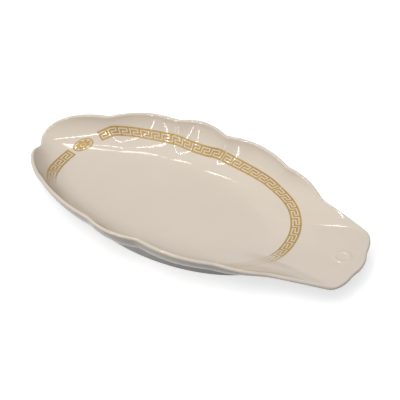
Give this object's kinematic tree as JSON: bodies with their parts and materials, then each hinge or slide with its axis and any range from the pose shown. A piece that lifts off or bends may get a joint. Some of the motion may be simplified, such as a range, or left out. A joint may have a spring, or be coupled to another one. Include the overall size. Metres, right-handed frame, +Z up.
{
  "type": "porcelain serving dish",
  "caption": "Leaf-shaped porcelain serving dish with a lobed, fluted rim, a low pointed tip, a flat tab handle and a printed gold key-pattern band round the well.",
  "frame": {"origin": "middle of the dish's outline in plan, on the surface that the foot ring rests on", "axes": "+X along the dish to the handle's end, +Y across the dish, +Z up out of the bowl"},
  "size_m": [0.2414, 0.124, 0.0256],
  "materials": {
    "porcelain": "glossy ivory glaze",
    "gold_print": "satin printed gold film"
  },
  "bodies": {
    "root": {"dish_body": "porcelain", "key_band_far_long": "gold_print", "key_band_far_short": "gold_print", "key_band_handle": "gold_print", "key_band_near_short": "gold_print", "key_band_near_long": "gold_print", "key_band_tip": "gold_print", "rosette": "gold_print"}
  },
  "joints": []
}
